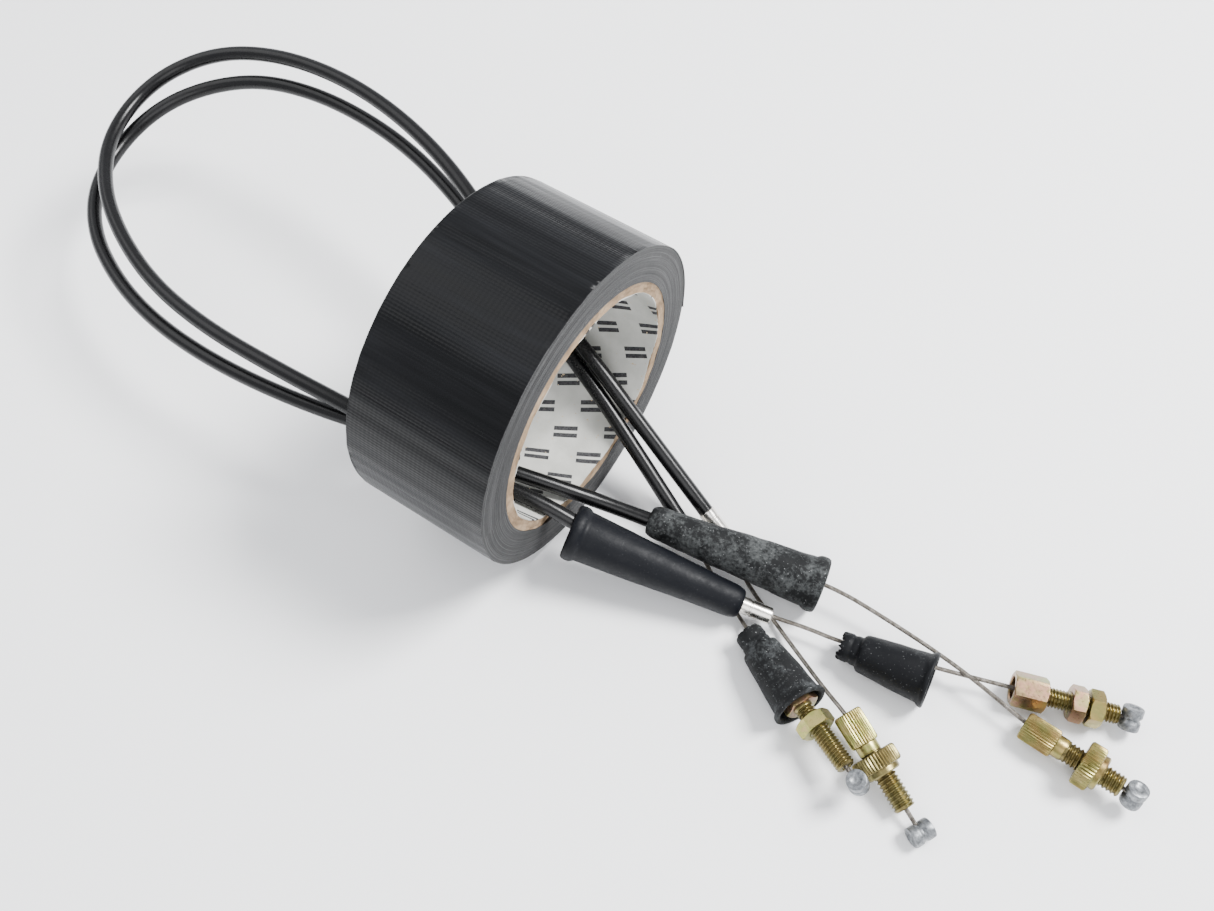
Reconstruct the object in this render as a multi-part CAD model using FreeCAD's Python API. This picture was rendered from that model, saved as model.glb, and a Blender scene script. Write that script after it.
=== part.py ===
import FreeCAD, Part
import math
import os

# A pair of two-ended control cables laid through the core of a roll of cloth tape.
# Frame: millimetres, +Z up, the roll's axis along X.  The origin is on the floor
# under the middle of the roll.  The cable ends lie on the floor on the +X side.

# ---------------------------------------------------------------- driving sizes
ROLL_WIDTH = 48.0
ROLL_RADIUS = 53.2
CORE_RADIUS = 41.5
BORE_RADIUS = 38.1
LINER_WALL = 0.3
TAIL_WALL = 0.35
TAIL_FROM, TAIL_TO = -8.0, 34.0      # degrees round the roll from +Y towards +Z
HOUSING_RADIUS = 2.5
CONDUIT_RADIUS = 1.75
LINER_RADIUS = 1.15
LINER_BORE = 0.8
WIRE_RADIUS = 0.7
FERRULE_RADIUS = 2.75
FERRULE_LENGTH = 10.0
BEND_SHARE = 0.45                    # share of the shorter run that an arc takes
HEX_LENGTH, HEX_HEAD, HEX_AF = 31.4, 10.0, 9.6
HEX_THREAD, HEX_PITCH = 3.0, 1.0
NUT_AF, NUT_THICK = 10.0, 4.2
KNURL_LENGTH, KNURL_HEAD, KNURL_RADIUS = 31.0, 10.3, 4.4
KNURL_COLLAR, KNURL_COLLAR_RADIUS = 2.8, 3.45
KNURL_THREAD, KNURL_PITCH = 3.35, 1.25
LOCK_RADIUS, LOCK_THICK = 7.0, 5.0
LOCK_BOSS, LOCK_BOSS_THICK = 5.4, 1.7
THREAD_DEPTH = 0.55
RUNNING = 0.06                       # radial clearance of a nut on its thread
NIPPLE_RADIUS, NIPPLE_LENGTH = 3.1, 7.0
LONG_BOOT = 58.0
SMALL_BOOT = 29.0

V = FreeCAD.Vector


def unit(v):
    return V(v) / V(v).Length


def away(point, direction, distance):
    return V(*point) + unit(V(*direction)) * distance


# ------------------------------------------------------------- places and routes
# Cable a: the hex end lies at the left of the front, the knurled end at the right.
A_HEX_TIP, A_HEX_DIR = (138.0, -38.1, 11.8), (0.885, -0.450, 0.125)
A_KNURL_TIP, A_KNURL_DIR = (206.5, 1.9, 8.1), (0.991, -0.095, 0.088)
B_HEX_TIP, B_HEX_DIR = (197.9, 23.0, 5.9), (0.951, 0.310, 0.0)
B_KNURL_TIP, B_KNURL_DIR = (157.8, -36.8, 4.7), (0.882, -0.437, -0.170)
A_HEX_NIPPLE_GAP = 5.4
A_KNURL_NIPPLE_GAP = 3.7
B_HEX_NIPPLE_GAP = 3.7
B_KNURL_NIPPLE_GAP = 7.6
A_BOOT_END, A_BOOT_DIR = (48.4, -3.2, 13.9), (0.974, 0.214, -0.077)
B_BOOT_END, B_BOOT_DIR = (86.7, -9.5, 8.0), (-0.957, -0.225, 0.190)
A_SMALL_NECK, A_SMALL_DIR = (92.7, -15.4, 5.8), (0.883, -0.455, 0.115)
B_SMALL_NECK, B_SMALL_DIR = (118.2, -3.2, 5.5), (0.986, 0.115, 0.122)

# Housing routes, from the hex end of cable a and from the knurled end of cable b.
A_HOUSING = [
    (55.6, 5.2, 7.4), (32.7, 13.5, 18.5), (9.0, 22.0, 29.0), (-15.0, 29.0, 38.0),
    (-39.0, 38.5, 44.0), (-62.5, 48.0, 48.5), (-86.5, 55.0, 51.0), (-111.0, 58.5, 51.5),
    (-134.5, 58.0, 51.5), (-155.5, 53.0, 50.5), (-172.0, 42.5, 47.5), (-183.2, 28.2, 43.6),
    (-187.8, 11.0, 38.4), (-182.4, -9.3, 36.2), (-168.0, -24.8, 35.2), (-147.0, -35.3, 35.0),
    (-123.5, -41.5, 35.5), (-97.5, -43.0, 35.5), (-70.5, -40.5, 35.0), (-43.0, -34.5, 33.5),
    (-18.0, -25.2, 31.2), (0.5, -20.6, 27.5), (17.5, -14.2, 23.0), (38.6, -5.3, 14.7),
    (60.1, -0.6, 13.0)]
B_HOUSING = [
    (60.4, 12.8, 7.4), (35.5, 18.8, 20.5), (10.5, 25.2, 33.5), (-15.5, 31.8, 44.8),
    (-42.0, 40.7, 53.7), (-68.5, 51.5, 60.0), (-96.5, 58.5, 62.5), (-124.5, 61.5, 62.0),
    (-151.5, 60.0, 59.0), (-173.3, 52.6, 55.0), (-187.8, 39.0, 49.4), (-191.5, 21.8, 45.7),
    (-185.1, 2.7, 44.4), (-170.8, -13.0, 43.4), (-151.0, -24.8, 43.0), (-126.3, -33.8, 43.2),
    (-99.0, -37.5, 44.0), (-70.0, -37.0, 44.0), (-40.5, -34.0, 41.0), (-14.0, -30.0, 35.5),
    (5.0, -26.5, 30.5), (24.0, -22.3, 26.7), (43.0, -19.5, 18.7), (64.8, -14.9, 12.1),
    (86.7, -9.5, 8.0)]
# Bare wire from just past each ferrule to the mouth of its adjuster.
A_HEX_WIRE = [(71.0, -1.8, 1.3), (78.5, -6.2, 1.2), (86.0, -10.0, 1.6), (92.9, -14.6, 4.4),
              (100.5, -19.2, 6.6)]
A_KNURL_WIRE = [(89.5, 6.4, 10.9), (109.0, 11.0, 9.4), (127.0, 11.1, 8.0), (144.0, 10.3, 7.3),
                (157.5, 8.0, 8.4)]
B_KNURL_WIRE = [(76.0, 6.3, 1.2), (84.0, 0.7, 1.0), (93.5, -4.0, 1.1), (103.5, -9.2, 2.6),
                (113.0, -14.4, 4.8), (122.0, -19.5, 7.6)]
B_HEX_WIRE = [(106.5, -4.2, 5.7), (118.5, -2.3, 5.6), (133.0, 1.7, 7.0), (148.3, 5.9, 7.9),
              (157.5, 9.8, 5.9)]


# ------------------------------------------------------------------ shape helpers
def placed(shape, point, direction, spin=0.0):
    # The shape's local +Z is turned on to the direction and its origin moved to the point.
    turn = FreeCAD.Rotation(V(0, 0, 1), unit(V(*direction)))
    turn = turn.multiply(FreeCAD.Rotation(V(0, 0, 1), spin))
    shape.Placement = FreeCAD.Placement(V(*point), turn)
    return shape


def turned(profile):
    # A closed profile of (radius, height) points turned round local Z.
    points = [V(r, 0, z) for r, z in profile]
    face = Part.Face(Part.makePolygon(points + [points[0]]))
    return face.revolve(V(0, 0, 0), V(0, 0, 1), 360)


def prism(radii, height):
    # A straight-sided prism whose corners stand evenly round local Z at the radii given.
    count = len(radii)
    corners = []
    for i, r in enumerate(radii):
        a = 2 * math.pi * i / count
        corners.append(V(r * math.cos(a), r * math.sin(a), 0))
    return Part.Face(Part.makePolygon(corners + [corners[0]])).extrude(V(0, 0, height))


def barrel(radius, height, chamfer):
    return turned([(0, 0), (radius - chamfer, 0), (radius, chamfer),
                   (radius, height - chamfer), (radius - chamfer, height), (0, height)])


def knurled(radius, height, teeth, depth):
    grip = prism([radius, radius - depth] * teeth, height)
    return grip.common(barrel(radius, height, 0.7))


def hexagon(across_flats, height, chamfer):
    corner = across_flats / math.sqrt(3)
    return prism([corner] * 6, height).common(barrel(corner, height, chamfer))


def thread(radius, pitch, start, end, bore):
    # Ring grooves at the real pitch stand for the helix.
    root = radius - THREAD_DEPTH
    profile = [(bore, start), (radius, start)]
    count = int((end - start - 1.0) / pitch)
    for i in range(count):
        z = start + 0.5 + i * pitch
        profile += [(radius, z), (root, z + 0.4 * pitch), (root, z + 0.6 * pitch),
                    (radius, z + pitch)]
    profile += [(radius, end - 0.5), (radius - 0.5, end), (bore, end)]
    clean = []
    for p in profile:
        if not clean or abs(p[0] - clean[-1][0]) + abs(p[1] - clean[-1][1]) > 1e-6:
            clean.append(p)
    return turned(clean)


def hole(radius, start, end):
    return Part.makeCylinder(radius, end - start, V(0, 0, start))


def corner_radii(points):
    radii = [0.0]
    for before, here, after in zip(points, points[1:], points[2:]):
        back = V(*before) - V(*here)
        on = V(*after) - V(*here)
        turn = math.pi - back.getAngle(on)
        radii.append(BEND_SHARE * min(back.Length, on.Length) / math.tan(turn / 2))
    return radii + [0.0]


def route(points, radii):
    # Straight runs joined by tangent arcs.
    edges = []
    start = V(*points[0])
    for i in range(1, len(points) - 1):
        here = V(*points[i])
        back = unit(V(*points[i - 1]) - here)
        on = unit(V(*points[i + 1]) - here)
        turn = math.pi - back.getAngle(on)
        reach = radii[i] * math.tan(turn / 2)
        first = here + back * reach
        last = here + on * reach
        middle = unit(back + on)
        centre = here + middle * (radii[i] / math.cos(turn / 2))
        edges.append(Part.LineSegment(start, first).toShape())
        edges.append(Part.Arc(first, centre - middle * radii[i], last).toShape())
        start = last
    edges.append(Part.LineSegment(start, V(*points[-1])).toShape())
    return Part.Wire(edges)


def tube(path, radius):
    start = path.Edges[0]
    ring = Part.Circle(start.valueAt(start.FirstParameter),
                       start.tangentAt(start.FirstParameter), radius)
    return path.makePipeShell([Part.Wire(ring.toShape())], True, False)


def sleeve(path, outer, inner):
    return tube(path, outer).cut(tube(path, inner))


# ------------------------------------------------------------------- the tape roll
def ring_x(outer, inner):
    shape = Part.makeCylinder(outer, ROLL_WIDTH, V(-ROLL_WIDTH / 2, 0, ROLL_RADIUS), V(1, 0, 0))
    return shape.cut(Part.makeCylinder(inner, ROLL_WIDTH, V(-ROLL_WIDTH / 2, 0, ROLL_RADIUS),
                                       V(1, 0, 0)))


def roll_point(radius, degrees, x):
    a = math.radians(degrees)
    return V(x, radius * math.cos(a), ROLL_RADIUS + radius * math.sin(a))


def tape_tail():
    # The last turn's free end: a short curved strip that lies on the winding.
    x = -ROLL_WIDTH / 2
    low = ROLL_RADIUS - TAIL_WALL
    middle = (TAIL_FROM + TAIL_TO) / 2
    outer = Part.Arc(roll_point(ROLL_RADIUS, TAIL_FROM, x), roll_point(ROLL_RADIUS, middle, x),
                     roll_point(ROLL_RADIUS, TAIL_TO, x)).toShape()
    inner = Part.Arc(roll_point(low, TAIL_TO, x), roll_point(low, middle, x),
                     roll_point(low, TAIL_FROM, x)).toShape()
    ends = [Part.LineSegment(roll_point(ROLL_RADIUS, TAIL_TO, x),
                             roll_point(low, TAIL_TO, x)).toShape(),
            Part.LineSegment(roll_point(low, TAIL_FROM, x),
                             roll_point(ROLL_RADIUS, TAIL_FROM, x)).toShape()]
    face = Part.Face(Part.Wire([outer, ends[0], inner, ends[1]]))
    return face.extrude(V(ROLL_WIDTH, 0, 0))


def roll_parts():
    tail = tape_tail()
    return {
        "tape_winding": ring_x(ROLL_RADIUS, CORE_RADIUS).cut(tail),
        "tape_tail": tail,
        "cardboard_core": ring_x(CORE_RADIUS, BORE_RADIUS),
        "core_liner": ring_x(BORE_RADIUS, BORE_RADIUS - LINER_WALL)}


# ---------------------------------------------------------------------- the cables
def ferrule():
    body = turned([(WIRE_RADIUS + 0.3, 0), (FERRULE_RADIUS - 0.2, 0), (FERRULE_RADIUS, 0.2),
                   (FERRULE_RADIUS, 2.6), (FERRULE_RADIUS - 0.25, 2.8),
                   (FERRULE_RADIUS - 0.25, 3.2), (FERRULE_RADIUS, 3.4),
                   (FERRULE_RADIUS, FERRULE_LENGTH - 0.4),
                   (FERRULE_RADIUS - 0.4, FERRULE_LENGTH), (WIRE_RADIUS + 0.3, FERRULE_LENGTH)])
    return body


def cable(name, housing, before, after):
    # before and after are the bare wire's points beyond the two ferrules.
    first, second = V(*housing[0]), V(*housing[1])
    last, before_last = V(*housing[-1]), V(*housing[-2])
    past = FERRULE_LENGTH + 1.0
    before = [tuple(away(first, first - second, past))] + before
    after = [tuple(away(last, last - before_last, past))] + after
    housing_radii = corner_radii(housing)
    path = route(housing, housing_radii)
    full = list(reversed(before)) + housing[1:-1] + after
    full_radii = corner_radii(full)
    for i in range(1, len(housing) - 1):
        full_radii[len(before) - 1 + i] = housing_radii[i]
    print(name, "housing radii", " ".join("%.0f" % r for r in housing_radii[1:-1]))
    print(name, "wire radii", " ".join("%.0f" % r for r in full_radii[1:-1]))
    print(name, "housing length %.1f" % path.Length)
    wire_path = route(full, full_radii)
    print(name, "wire length %.1f" % wire_path.Length)
    jacket = sleeve(path, HOUSING_RADIUS, CONDUIT_RADIUS)
    wire = tube(wire_path, WIRE_RADIUS)
    area = math.pi * (HOUSING_RADIUS ** 2 - CONDUIT_RADIUS ** 2)
    print(name, "jacket volume / section x length %.5f" % (jacket.Volume / area / path.Length))
    print(name, "wire volume / section x length %.5f"
          % (wire.Volume / (math.pi * WIRE_RADIUS ** 2) / wire_path.Length))
    return {
        name + "_housing_jacket": jacket,
        name + "_spring_conduit": sleeve(path, CONDUIT_RADIUS, LINER_RADIUS),
        name + "_low_friction_liner": sleeve(path, LINER_RADIUS, LINER_BORE),
        name + "_inner_wire": wire,
        name + "_ferrule_near": placed(ferrule(), first, first - second),
        name + "_ferrule_far": placed(ferrule(), last, last - before_last)}


def hex_adjuster():
    head = hexagon(HEX_AF, HEX_HEAD, 0.8)
    screw = thread(HEX_THREAD, HEX_PITCH, HEX_HEAD, HEX_LENGTH, 1.3)
    head = head.cut(hole(3.5, 0, 8.0)).cut(hole(1.3, 8.0, HEX_HEAD))
    return head.fuse(screw).removeSplitter()


def hex_nut():
    nut = hexagon(NUT_AF, NUT_THICK, 0.7)
    return nut.cut(hole(HEX_THREAD + RUNNING, 0, NUT_THICK))


def knurled_adjuster():
    head = knurled(KNURL_RADIUS, KNURL_HEAD, 34, 0.3)
    head = head.cut(hole(3.0, 0, 8.0)).cut(hole(1.3, 8.0, KNURL_HEAD))
    collar_end = KNURL_HEAD + KNURL_COLLAR
    collar = turned([(1.3, KNURL_HEAD), (KNURL_COLLAR_RADIUS, KNURL_HEAD),
                     (KNURL_COLLAR_RADIUS, collar_end - 0.5),
                     (KNURL_THREAD, collar_end), (1.3, collar_end)])
    screw = thread(KNURL_THREAD, KNURL_PITCH, collar_end, KNURL_LENGTH, 1.3)
    return head.fuse(collar).fuse(screw).removeSplitter()


def lock_nut():
    grip = knurled(LOCK_RADIUS, LOCK_THICK, 46, 0.35)
    boss = turned([(0, LOCK_THICK), (LOCK_BOSS, LOCK_THICK),
                   (LOCK_BOSS, LOCK_THICK + LOCK_BOSS_THICK - 0.4),
                   (LOCK_BOSS - 0.4, LOCK_THICK + LOCK_BOSS_THICK),
                   (0, LOCK_THICK + LOCK_BOSS_THICK)])
    whole = grip.fuse(boss).removeSplitter()
    return whole.cut(hole(KNURL_THREAD + RUNNING, 0, LOCK_THICK + LOCK_BOSS_THICK))


def nipple():
    # The barrel lies along local Z with its middle at the origin; the wire comes in along -X.
    r, half = NIPPLE_RADIUS, NIPPLE_LENGTH / 2
    body = turned([(0, -half + 0.3), (1.6, -half), (r - 0.4, -half), (r, -half + 0.4),
                   (r, -0.9), (r - 0.7, 0), (r, 0.9), (r, half - 0.4), (r - 0.4, half),
                   (1.6, half), (0, half - 0.3)])
    socket = Part.makeCylinder(WIRE_RADIUS, r + 1, V(-r - 1, 0, 0), V(1, 0, 0))
    return body.cut(socket)


def long_boot():
    # Local Z runs from the narrow end to the rolled lip of the mouth.
    end = LONG_BOOT
    outer = [(3.7, 0), (4.7, 0.5), (5.3, 2.5), (5.6, 8), (6.5, 24), (7.5, 40), (8.2, end - 6),
             (8.3, end - 4.5), (9.0, end - 3.6), (9.1, end - 1.4), (8.6, end)]
    inner = [(7.6, end), (7.2, end - 1.5), (6.6, end - 8), (5.6, 30), (4.4, 10), (2.9, 6.5),
             (2.9, 0)]
    return turned(outer + inner)


def small_boot():
    end = SMALL_BOOT
    outer = [(4.0, 0), (4.5, 0.6), (4.6, 6.6), (5.7, 7.0), (6.0, 8.0), (7.8, end - 2.2),
             (8.8, end - 1.2), (8.8, end)]
    inner = [(7.2, end), (6.9, end - 1.2), (6.5, end - 5), (6.1, end - 14), (4.9, 9.5), (3.4, 7.5),
             (3.2, 0)]
    return turned(outer + inner)


def wire_end(tip, direction, gap, inside):
    # The straight last stretch of wire, from inside the adjuster to the nipple's middle.
    start = away(tip, direction, -inside)
    return Part.makeCylinder(WIRE_RADIUS, inside + gap, start, unit(V(*direction)))


def nipple_at(tip, direction, gap, barrel_axis):
    # The barrel's axis is set square to the wire, as near the given axis as it can be.
    along = unit(V(*direction))
    axis = V(*barrel_axis)
    axis = unit(axis - along * axis.dot(along))
    side = axis.cross(along)
    m = FreeCAD.Matrix(along.x, side.x, axis.x, 0, along.y, side.y, axis.y, 0,
                       along.z, side.z, axis.z, 0, 0, 0, 0, 1)
    shape = nipple()
    shape.Placement = FreeCAD.Placement(away(tip, direction, gap), FreeCAD.Rotation(m))
    return shape


def end_fittings(prefix, kind, tip, direction, gap, inside, barrel_axis, nut_places, spin):
    knurl = kind == "knurl"
    length = KNURL_LENGTH if knurl else HEX_LENGTH
    adjuster = knurled_adjuster() if knurl else hex_adjuster()
    head = away(tip, direction, -length)
    parts = {prefix + "_adjuster": placed(adjuster, head, direction, spin),
             prefix + "_wire_end": wire_end(tip, direction, gap, inside),
             prefix + "_nipple": nipple_at(tip, direction, gap, barrel_axis)}
    for i, place in enumerate(nut_places):
        nut = lock_nut() if knurl else hex_nut()
        label = "_lock_nut" if len(nut_places) == 1 else "_lock_nut_%d" % (i + 1)
        parts[prefix + label] = placed(nut, away(tip, direction, place - length), direction,
                                       spin + 17 * i)
    return parts


def stub(tip, direction, depths, length):
    # Points on an adjuster's axis, at the given depths from its head face.
    return [tuple(away(tip, direction, d - length)) for d in depths]


def build():
    nodes = roll_parts()
    a_hex = A_HEX_WIRE + stub(A_HEX_TIP, A_HEX_DIR, (2.0, 9.5), HEX_LENGTH)
    a_knurl = A_KNURL_WIRE + stub(A_KNURL_TIP, A_KNURL_DIR, (5.0, 14.0), KNURL_LENGTH)
    b_hex = B_HEX_WIRE + stub(B_HEX_TIP, B_HEX_DIR, (9.0,), HEX_LENGTH)
    b_knurl = B_KNURL_WIRE + stub(B_KNURL_TIP, B_KNURL_DIR, (2.5, 13.0), KNURL_LENGTH)
    nodes.update(cable("a", A_HOUSING, a_hex, a_knurl))
    nodes.update(cable("b", B_HOUSING, b_knurl, b_hex))
    nodes.update(end_fittings("a_hex", "hex", A_HEX_TIP, A_HEX_DIR, A_HEX_NIPPLE_GAP, 17.0,
                              (-0.2, -0.2, 0.95), (14.0,), 12))
    nodes.update(end_fittings("a_knurl", "knurl", A_KNURL_TIP, A_KNURL_DIR,
                              A_KNURL_NIPPLE_GAP, 16.0, (0.1, 0.3, 0.95), (18.2,), 0))
    nodes.update(end_fittings("b_hex", "hex", B_HEX_TIP, B_HEX_DIR, B_HEX_NIPPLE_GAP, 13.5,
                              (-0.3, 0.6, 0.7), (17.0, 22.2), 0))
    nodes.update(end_fittings("b_knurl", "knurl", B_KNURL_TIP, B_KNURL_DIR,
                              B_KNURL_NIPPLE_GAP, 12.0, (0.5, 0.85, 0.0), (13.4,), 0))
    nodes["a_long_boot"] = placed(long_boot(), A_BOOT_END, A_BOOT_DIR)
    nodes["b_long_boot"] = placed(long_boot(), B_BOOT_END, B_BOOT_DIR)
    nodes["a_small_boot"] = placed(small_boot(), A_SMALL_NECK, A_SMALL_DIR)
    nodes["b_small_boot"] = placed(small_boot(), B_SMALL_NECK, B_SMALL_DIR)
    os.makedirs("parts", exist_ok=True)
    for name, shape in nodes.items():
        solids = shape.Solids
        print("%-22s solids %d valid %s volume %.1f" % (name, len(solids), shape.isValid(),
                                                       shape.Volume))
        shape.exportStep(os.path.join("parts", name + ".step"))


build()
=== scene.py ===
import math

import bpy
from mathutils import Matrix, Vector


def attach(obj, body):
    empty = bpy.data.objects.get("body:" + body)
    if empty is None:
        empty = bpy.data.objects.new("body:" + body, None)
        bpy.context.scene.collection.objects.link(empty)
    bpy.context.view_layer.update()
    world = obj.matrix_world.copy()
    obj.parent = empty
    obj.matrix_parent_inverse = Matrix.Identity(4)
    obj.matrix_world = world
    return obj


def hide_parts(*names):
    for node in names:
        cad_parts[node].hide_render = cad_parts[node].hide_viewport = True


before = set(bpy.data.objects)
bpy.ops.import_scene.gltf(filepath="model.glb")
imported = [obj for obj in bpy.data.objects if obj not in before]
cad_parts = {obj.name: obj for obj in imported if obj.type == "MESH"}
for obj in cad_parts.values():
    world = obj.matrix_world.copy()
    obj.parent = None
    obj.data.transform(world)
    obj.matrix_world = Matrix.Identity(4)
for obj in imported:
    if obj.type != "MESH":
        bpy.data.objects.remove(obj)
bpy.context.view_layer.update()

MM = 0.001

# ------------------------------------------------------------- places, millimetres
ROLL_WIDTH = 48.0
ROLL_RADIUS = 53.2
CORE_RADIUS = 41.5
BORE_RADIUS = 38.1
LINER_WALL = 0.3
TAIL_FROM, TAIL_TO = -8.0, 34.0
HOUSING_RADIUS = 2.5
WIRE_RADIUS = 0.7
HEX_LENGTH, HEX_HEAD, HEX_AF = 31.4, 10.0, 9.6
HEX_THREAD, HEX_PITCH = 3.0, 1.0
NUT_AF, NUT_THICK = 10.0, 4.2
KNURL_LENGTH, KNURL_HEAD, KNURL_RADIUS = 31.0, 10.3, 4.4
KNURL_COLLAR, KNURL_COLLAR_RADIUS = 2.8, 3.45
KNURL_THREAD, KNURL_PITCH = 3.35, 1.25
LOCK_RADIUS, LOCK_THICK = 7.0, 5.0
LOCK_BOSS, LOCK_BOSS_THICK = 5.4, 1.7
THREAD_DEPTH = 0.55
NIPPLE_RADIUS, NIPPLE_LENGTH = 3.1, 7.0
KNURL_TEETH, LOCK_TEETH = 34, 46
HEX_ANGLES = 96
KNURL_ANGLES, LOCK_ANGLES = KNURL_TEETH * 8, LOCK_TEETH * 6
LONG_BOOT = 58.0
SMALL_BOOT = 29.0

A_HEX = ((138.0, -38.1, 11.8), (0.885, -0.450, 0.125))
A_KNURL = ((206.5, 1.9, 8.1), (0.991, -0.095, 0.088))
B_HEX = ((197.9, 23.0, 5.9), (0.951, 0.310, 0.0))
B_KNURL = ((157.8, -36.8, 4.7), (0.882, -0.437, -0.170))
A_BOOT = ((48.4, -3.2, 13.9), (0.974, 0.214, -0.077))
B_BOOT = ((86.7, -9.5, 8.0), (-0.957, -0.225, 0.190))
A_SMALL = ((92.7, -15.4, 5.8), (0.883, -0.455, 0.115))
B_SMALL = ((118.2, -3.2, 5.5), (0.986, 0.115, 0.122))

A_HOUSING = [
    (55.6, 5.2, 7.4), (32.7, 13.5, 18.5), (9.0, 22.0, 29.0), (-15.0, 29.0, 38.0),
    (-39.0, 38.5, 44.0), (-62.5, 48.0, 48.5), (-86.5, 55.0, 51.0), (-111.0, 58.5, 51.5),
    (-134.5, 58.0, 51.5), (-155.5, 53.0, 50.5), (-172.0, 42.5, 47.5), (-183.2, 28.2, 43.6),
    (-187.8, 11.0, 38.4), (-182.4, -9.3, 36.2), (-168.0, -24.8, 35.2), (-147.0, -35.3, 35.0),
    (-123.5, -41.5, 35.5), (-97.5, -43.0, 35.5), (-70.5, -40.5, 35.0), (-43.0, -34.5, 33.5),
    (-18.0, -25.2, 31.2), (0.5, -20.6, 27.5), (17.5, -14.2, 23.0), (38.6, -5.3, 14.7),
    (60.1, -0.6, 13.0)]
B_HOUSING = [
    (60.4, 12.8, 7.4), (35.5, 18.8, 20.5), (10.5, 25.2, 33.5), (-15.5, 31.8, 44.8),
    (-42.0, 40.7, 53.7), (-68.5, 51.5, 60.0), (-96.5, 58.5, 62.5), (-124.5, 61.5, 62.0),
    (-151.5, 60.0, 59.0), (-173.3, 52.6, 55.0), (-187.8, 39.0, 49.4), (-191.5, 21.8, 45.7),
    (-185.1, 2.7, 44.4), (-170.8, -13.0, 43.4), (-151.0, -24.8, 43.0), (-126.3, -33.8, 43.2),
    (-99.0, -37.5, 44.0), (-70.0, -37.0, 44.0), (-40.5, -34.0, 41.0), (-14.0, -30.0, 35.5),
    (5.0, -26.5, 30.5), (24.0, -22.3, 26.7), (43.0, -19.5, 18.7), (64.8, -14.9, 12.1),
    (86.7, -9.5, 8.0)]
A_HEX_WIRE = [(71.0, -1.8, 1.3), (78.5, -6.2, 1.2), (86.0, -10.0, 1.6), (92.9, -14.6, 4.4),
              (100.5, -19.2, 6.6)]
A_KNURL_WIRE = [(89.5, 6.4, 10.9), (109.0, 11.0, 9.4), (127.0, 11.1, 8.0), (144.0, 10.3, 7.3),
                (157.5, 8.0, 8.4)]
B_KNURL_WIRE = [(76.0, 6.3, 1.2), (84.0, 0.7, 1.0), (93.5, -4.0, 1.1), (103.5, -9.2, 2.6),
                (113.0, -14.4, 4.8), (122.0, -19.5, 7.6)]
B_HEX_WIRE = [(106.5, -4.2, 5.7), (118.5, -2.3, 5.6), (133.0, 1.7, 7.0), (148.3, 5.9, 7.9),
              (157.5, 9.8, 5.9)]
PAST_FERRULE = 11.0


# --------------------------------------------------------------------- node helpers
class Shader:
    """A material's node tree, with short calls for the nodes used here."""

    def __init__(self, name):
        self.mat = bpy.data.materials.new(name)
        self.mat.use_nodes = True
        self.tree = self.mat.node_tree
        self.bsdf = self.tree.nodes["Principled BSDF"]

    def link(self, a, b):
        self.tree.links.new(a, b)

    def put(self, socket, value):
        if isinstance(value, bpy.types.NodeSocket):
            self.link(value, socket)
        else:
            socket.default_value = value

    def coord(self):
        return self.tree.nodes.new("ShaderNodeTexCoord").outputs["Object"]

    def scaled(self, vector, scale):
        n = self.tree.nodes.new("ShaderNodeMapping")
        self.link(vector, n.inputs["Vector"])
        n.inputs["Scale"].default_value = scale
        return n.outputs[0]

    def noise(self, vector, scale, detail=4.0, rough=0.55):
        n = self.tree.nodes.new("ShaderNodeTexNoise")
        self.link(vector, n.inputs["Vector"])
        n.inputs["Scale"].default_value = scale
        n.inputs["Detail"].default_value = detail
        n.inputs["Roughness"].default_value = rough
        return n.outputs[0]

    def math(self, op, a, b=0.0, c=0.0):
        n = self.tree.nodes.new("ShaderNodeMath")
        n.operation = op
        for socket, value in zip(n.inputs, (a, b, c)):
            self.put(socket, value)
        return n.outputs[0]

    def ramp(self, value, stops):
        n = self.tree.nodes.new("ShaderNodeValToRGB")
        self.link(value, n.inputs[0])
        ramp = n.color_ramp
        while len(ramp.elements) < len(stops):
            ramp.elements.new(0.5)
        for e, (place, colour) in zip(ramp.elements, stops):
            e.position = place
            e.color = tuple(colour) + (1.0,) if len(colour) == 3 else (colour[0],) * 3 + (1.0,)
        return n.outputs[0]

    def mix(self, factor, a, b):
        n = self.tree.nodes.new("ShaderNodeMix")
        n.data_type = "RGBA"
        self.put(n.inputs[0], factor)
        for socket, value in ((n.inputs[6], a), (n.inputs[7], b)):
            if isinstance(value, bpy.types.NodeSocket):
                self.link(value, socket)
            else:
                socket.default_value = tuple(value) + (1.0,)
        return n.outputs[2]

    def split(self, vector):
        n = self.tree.nodes.new("ShaderNodeSeparateXYZ")
        self.link(vector, n.inputs[0])
        return n.outputs

    def bump(self, height, strength, distance):
        n = self.tree.nodes.new("ShaderNodeBump")
        self.link(height, n.inputs["Height"])
        n.inputs["Strength"].default_value = strength
        n.inputs["Distance"].default_value = distance
        self.link(n.outputs[0], self.bsdf.inputs["Normal"])

    def finish(self, colour, roughness, metallic=0.0, specular=0.5):
        self.put(self.bsdf.inputs["Base Color"],
                 colour if isinstance(colour, bpy.types.NodeSocket) else tuple(colour) + (1.0,))
        self.put(self.bsdf.inputs["Roughness"], roughness)
        self.bsdf.inputs["Metallic"].default_value = metallic
        self.bsdf.inputs["Specular IOR Level"].default_value = specular
        return self.mat


def roll_angle(s, xyz):
    # The angle round the roll's axis and the distance from it, in millimetres.
    y, z = s.math("MULTIPLY", xyz[1], 1000.0), s.math("MULTIPLY", xyz[2], 1000.0)
    z = s.math("SUBTRACT", z, ROLL_RADIUS)
    angle = s.math("ARCTAN2", z, y)
    radius = s.math("SQRT", s.math("ADD", s.math("MULTIPLY", y, y), s.math("MULTIPLY", z, z)))
    return angle, radius


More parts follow.
